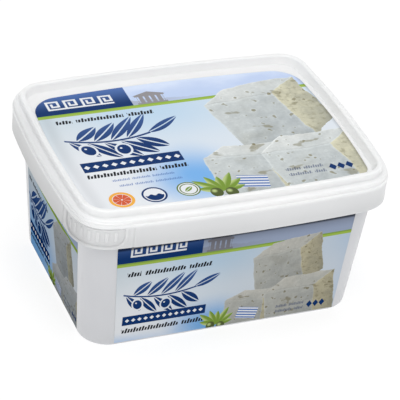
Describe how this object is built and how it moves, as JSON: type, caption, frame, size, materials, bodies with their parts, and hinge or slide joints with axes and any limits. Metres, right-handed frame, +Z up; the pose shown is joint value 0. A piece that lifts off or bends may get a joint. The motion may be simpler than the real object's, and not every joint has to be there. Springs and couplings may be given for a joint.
{
  "type": "shut cheese tub",
  "caption": "Shut rectangular white plastic cheese tub with a press-on lid, a corner pull tab and printed film labels on the lid and walls.",
  "frame": {"origin": "centre of the flat base", "axes": "+X along the long front side towards the viewer's right, +Y from the front face to the back, +Z up; the pull tab is at the -X, -Y corner of the lid"},
  "size_m": [0.1526, 0.1186, 0.0775],
  "materials": {
    "tub_plastic": "satin white polypropylene",
    "lid_plastic": "satin white polypropylene",
    "lid_film": "printed glossy film",
    "wall_film": "printed glossy film"
  },
  "bodies": {
    "root": {"tub": "tub_plastic", "lid": "lid_plastic", "lid_label": "lid_film", "front_label": "wall_film", "back_label": "wall_film", "left_label": "wall_film", "right_label": "wall_film"}
  },
  "joints": []
}
